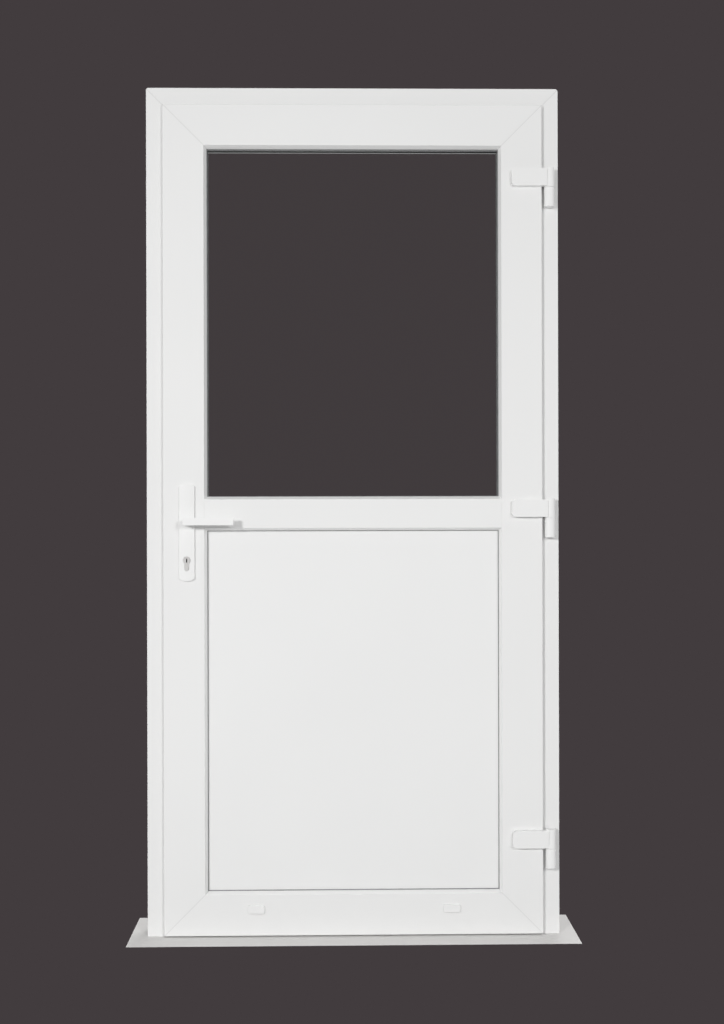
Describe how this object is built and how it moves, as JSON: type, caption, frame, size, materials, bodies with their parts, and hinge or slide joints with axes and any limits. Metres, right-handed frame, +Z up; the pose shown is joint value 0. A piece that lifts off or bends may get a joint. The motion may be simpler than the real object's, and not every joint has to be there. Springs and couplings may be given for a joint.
{
  "type": "upvc exterior door",
  "caption": "White plastic side-entrance door leaf with glazed top and flat lower panel, hung in its frame with flag hinges, lever handles, profile cylinder, latch and dead bolt.",
  "frame": {"origin": "on the floor, at mid-width and mid-depth of the outer frame", "axes": "+X to the right as seen from outside, +Y from outside to inside, +Z up"},
  "size_m": [0.98, 0.166, 2.015],
  "materials": {
    "white_upvc": "smooth, satin gloss",
    "white_panel": "smooth, satin gloss",
    "panel_foam": "foam board",
    "white_coated_metal": "powder coat",
    "white_cover_plastic": "satin",
    "galvanised_steel": "zinc coated",
    "plain_steel": "bright zinc",
    "nickel": "satin nickel",
    "grey_rubber": "matt",
    "mill_aluminium": "anodised",
    "spacer_aluminium": "satin",
    "clear_glass": "clear float glass",
    "block_plastic": "matt"
  },
  "bodies": {
    "frame": {"lock_jamb": "white_upvc", "hinge_jamb": "white_upvc", "frame_head": "white_upvc", "threshold": "mill_aluminium", "threshold_end_blocks": "white_upvc", "frame_steels": "galvanised_steel", "frame_seal": "grey_rubber", "strike_plate": "plain_steel", "strike_screws": "plain_steel", "hinge_pins": "plain_steel", "hinge_barrel_bottom": "white_coated_metal", "hinge_barrel_middle": "white_coated_metal", "hinge_barrel_top": "white_coated_metal"},
    "leaf": {"lock_stile": "white_upvc", "hinge_stile": "white_upvc", "top_rail": "white_upvc", "bottom_rail": "white_upvc", "transom": "white_upvc", "leaf_steels": "galvanised_steel", "leaf_seal": "grey_rubber", "outer_glass": "clear_glass", "inner_glass": "clear_glass", "glass_spacer": "spacer_aluminium", "glass_edge_seal": "grey_rubber", "glass_outer_gasket": "grey_rubber", "glass_inner_gasket": "grey_rubber", "panel_outer_gasket": "grey_rubber", "panel_inner_gasket": "grey_rubber", "panel_skins": "white_panel", "panel_core": "panel_foam", "glass_side_beads": "white_upvc", "glass_cross_beads": "white_upvc", "panel_side_beads": "white_upvc", "panel_cross_beads": "white_upvc", "setting_blocks": "block_plastic", "drain_caps": "white_upvc", "hinge_flag_bottom": "white_coated_metal", "hinge_flag_middle": "white_coated_metal", "hinge_flag_top": "white_coated_metal", "hinge_cover_bottom": "white_cover_plastic", "hinge_cover_middle": "white_cover_plastic", "hinge_cover_top": "white_cover_plastic", "hinge_screws": "plain_steel", "lock_case": "galvanised_steel", "lock_faceplate": "nickel", "faceplate_screws": "plain_steel", "cylinder_body": "nickel", "cylinder_screw": "plain_steel", "outside_plate": "white_coated_metal", "inside_plate": "white_coated_metal", "plate_screws": "plain_steel"},
    "levers": {"outside_lever": "white_coated_metal", "inside_lever": "white_coated_metal", "spindle": "plain_steel", "follower": "plain_steel"},
    "latch": {"latch_bolt": "nickel"},
    "bolt": {"dead_bolt": "nickel"},
    "outer_key_plug": {"outside_plug": "nickel", "lock_cam": "plain_steel"},
    "inner_key_plug": {"inside_plug": "nickel"}
  },
  "joints": [
    {"name": "door_swing", "type": "hinge", "parent": "frame", "child": "leaf", "pos_m": [0.467, -0.053, 0], "axis": [0, 0, 1], "range_deg": [0, 110]},
    {"name": "lever_turn", "type": "hinge", "parent": "leaf", "child": "levers", "pos_m": [-0.3935, -0.015, 0.985], "axis": [0, 1, 0], "range_deg": [0, 40], "stiffness_Nm_per_rad": 1.2, "springref_deg": -28.65},
    {"name": "latch_slide", "type": "slide", "parent": "leaf", "child": "latch", "axis": [1, 0, 0], "range_m": [0, 0.012]},
    {"name": "outer_key_turn", "type": "hinge", "parent": "leaf", "child": "outer_key_plug", "pos_m": [-0.3935, -0.015, 0.893], "axis": [0, 1, 0], "range_deg": [0, 360]},
    {"name": "bolt_slide", "type": "slide", "parent": "leaf", "child": "bolt", "axis": [-1, 0, 0], "range_m": [0, 0.02]},
    {"name": "inner_key_turn", "type": "hinge", "parent": "leaf", "child": "inner_key_plug", "pos_m": [-0.3935, -0.015, 0.893], "axis": [0, 1, 0], "range_deg": [0, 360]}
  ],
  "couplings": [
    {"joint": "latch_slide", "follows": "lever_turn", "m_per_rad": 0.017188},
    {"joint": "outer_key_turn", "follows": "bolt_slide", "rad_per_m": 314.16}
  ]
}
